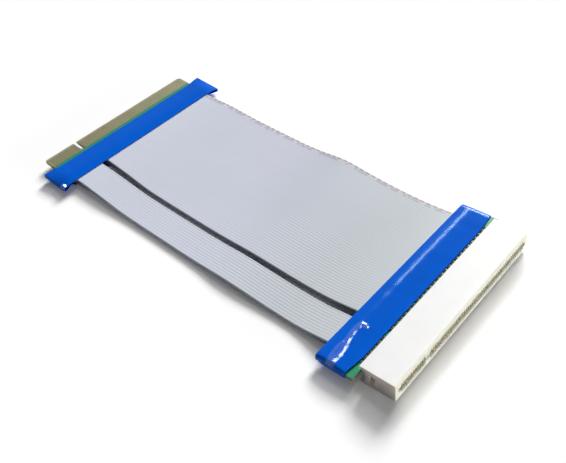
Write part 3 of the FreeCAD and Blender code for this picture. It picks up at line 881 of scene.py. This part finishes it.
plain_grey = ribbon_material("grey_ribbon_vinyl", striped=False)
striped_grey = ribbon_material("printed_grey_ribbon_vinyl", striped=True)
make_ribbon("wide_ribbon_upper", WIDE_WAYS, FAR_EDGE, WIDE_BOW, is_upper=True, material=striped_grey)
make_ribbon("wide_ribbon_lower", WIDE_WAYS, FAR_EDGE, WIDE_BOW, is_upper=False, material=plain_grey)
make_ribbon("narrow_ribbon_upper", NARROW_WAYS, NARROW_EDGE, NARROW_BOW, is_upper=True, material=plain_grey)
make_ribbon("narrow_ribbon_lower", NARROW_WAYS, NARROW_EDGE, NARROW_BOW, is_upper=False, material=plain_grey)

satin_film = film_material("satin_blue_film", gloss=0.03)
glossy_film = film_material("glossy_blue_film", gloss=0.09)
make_sleeve(
    "plug_sleeve",
    "plug_board",
    plug,
    satin_film,
    folds=[PLUG_CORNER_FOLD],
    wave_height=0.03,
    front_shift=(-1.2, 0.1),
    hip_powers=(2, 2),
    seed=11,
)
make_sleeve(
    "socket_sleeve",
    "socket_board",
    socket,
    glossy_film,
    folds=[SOCKET_HOOK_FOLD, SOCKET_SIDE_FOLD],
    wave_height=0.04,
    front_shift=(0.6, -0.4),
    hip_powers=(8, 16),
    seed=23,
)

# The mask ends where the fingers start on the plug board, and covers all of the socket board behind its mount
fingers_start = plug.local("plug_fingers_upper")[:, 0].min()
dress(["plug_board"], board_material("plug_board_laminate", plug, mask_reach=fingers_start))
dress(["socket_board"], board_material("socket_board_laminate", socket, mask_reach=0.0))
dress(["plug_fingers_upper", "plug_fingers_lower"], finger_material())
dress(["socket_housing"], housing_material())

housing_base = socket.local("socket_housing")[:, 0].min()
grip_start = socket.at(housing_base + GRIP_DEPTH, 0.0, 0.0)[0]
dress([name for name in frame["nodes"] if name.startswith("contacts_")], contact_material(grip_start))
dress([name for name in frame["nodes"] if name.endswith("_wires")], solder_material())


# Floor, light and camera

WHITE = (1, 1, 1, 1)
FLOOR_SIZE = 2400.0
FLOOR_WHITE = (0.97, 0.97, 0.97, 1)
WORLD_LIGHT = 0.05

# White added to the floor as the camera sees it, which fades out under the cable from its sides and its ends,
# leaving painted shade under the cable
FLOOR_LIFT = 0.075
LIFT_BESIDE = (28.0, 38.0)
LIFT_BEYOND = (62.0, 76.0)

# Softboxes round the part: degrees round from +Y towards -X, degrees up, degrees wide and high, degrees
# turned about the view, and the share of a white surface's brightness that each gives to level ground
SOFTBOX_DISTANCE = 20000.0
SOFTBOXES = {
    "main_softbox": (18.0, 29.0, 22.0, 18.0, 0.0, 0.68),
    "streak_softbox": (34.5, 40.7, 4.0, 10.0, -45.0, 0.08),
    "fold_softbox": (12.0, 60.0, 6.0, 11.0, 0.0, 0.10),
    "top_softbox": (20.0, 76.0, 70.0, 26.0, 0.0, 0.07),
    "slot_softbox": (-80.0, 5.0, 30.0, 9.0, 0.0, 0.05),
}


def seen_directly(tree):
    """1 for rays from the camera and for those that a mirror or glass passes on, 0 for scattered light."""
    path = add_node(tree, "LightPath").outputs
    seen = calculate(tree, "MAXIMUM", path["Is Camera Ray"], path["Is Glossy Ray"])
    return calculate(tree, "MAXIMUM", seen, path["Is Transmission Ray"])


def make_floor():
    """A white floor, which the camera sees lighter than the lamps make it, but not under the cable, where
    this leaves painted shade.
    """
    material, tree, shader = new_material("white_floor")
    feed(tree, shader.inputs["Base Color"], patchy(tree, FLOOR_WHITE, scale=3.0, contrast=0.004))
    shader.inputs["Roughness"].default_value = 0.9
    shader.inputs["Specular IOR Level"].default_value = 0.0
    place = axes_of(tree, surface_point(tree))
    # Painted shade: the lift is left off the floor under the cable
    beside = ramp(tree, calculate(tree, "ABSOLUTE", place["Y"]), *metres(LIFT_BESIDE))
    beyond = ramp(tree, calculate(tree, "ABSOLUTE", place["X"]), *metres(LIFT_BEYOND))
    lift = product(tree, calculate(tree, "MAXIMUM", beside, beyond), FLOOR_LIFT, seen_directly(tree))
    glow = add_node(tree, "Emission", {"Color": WHITE, "Strength": lift})
    both = add_node(tree, "AddShader", {0: shader.outputs[0], 1: glow.outputs[0]})
    feed(tree, tree.nodes["Material Output"].inputs["Surface"], both.outputs[0])
    half = FLOOR_SIZE * MM / 2
    mesh = bpy.data.meshes.new("floor")
    corners = [(-half, -half, 0), (half, -half, 0), (half, half, 0), (-half, half, 0)]
    mesh.from_pydata(corners, [], [(0, 1, 2, 3)])
    mesh.materials.append(material)
    floor = add_object("floor", mesh)


def make_world():
    """Even studio light that the camera and reflections see as white."""
    world = bpy.data.worlds.new("studio")
    bpy.context.scene.world = world
    world.use_nodes = True
    tree = world.node_tree
    tree.nodes.clear()
    strength = add_node(tree, "MapRange", {0: seen_directly(tree), 3: WORLD_LIGHT, 4: 1.0}).outputs[0]
    background = add_node(tree, "Background", {"Color": WHITE, "Strength": strength})
    add_node(tree, "OutputWorld", {"Surface": background.outputs[0]})


def make_softbox(name, round_from_y, up, wide, high, turned, share):
    """A rectangular soft lamp that points at the middle of the part and lights level ground by a share."""
    turn, rise = math.radians(round_from_y), math.radians(up)
    away = Vector((-math.sin(turn) * math.cos(rise), math.cos(turn) * math.cos(rise), math.sin(rise)))
    distance = SOFTBOX_DISTANCE * MM
    lamp = bpy.data.lights.new(name, "AREA")
    lamp.shape = "RECTANGLE"
    lamp.size = 2 * distance * math.tan(math.radians(wide) / 2)
    lamp.size_y = 2 * distance * math.tan(math.radians(high) / 2)
    lamp.energy = share * (math.pi * distance) ** 2 / math.sin(rise)
    softbox = add_object(name, lamp)
    softbox.location = away * distance
    facing = (-away).to_track_quat("-Z", "Y") @ Quaternion((0, 0, 1), math.radians(turned))
    softbox.rotation_euler = facing.to_euler()
    softbox.visible_camera = False


def make_camera():
    """The camera at the viewpoint of the photo, rolled a little about its view."""
    camera = bpy.data.cameras.new("camera")
    camera.sensor_width = SENSOR_WIDTH
    camera.lens = FOCAL_PIXELS / IMAGE_WIDTH * SENSOR_WIDTH
    camera.clip_start, camera.clip_end = metres(CAMERA_CLIP)
    holder = add_object("camera", camera)
    looks = (CAMERA_AIM - CAMERA_PLACE).normalized()
    level = looks.cross(Vector((0, 0, 1))).normalized()
    right = Matrix.Rotation(CAMERA_ROLL, 3, looks) @ level
    axes = Matrix((right, right.cross(looks), -looks)).transposed()
    holder.matrix_world = Matrix.Translation(CAMERA_PLACE * MM) @ axes.to_4x4()
    bpy.context.scene.camera = holder


make_floor()
make_world()
for softbox_name, softbox in SOFTBOXES.items():
    make_softbox(softbox_name, *softbox)
make_camera()
bpy.context.scene.view_settings.view_transform = "Standard"
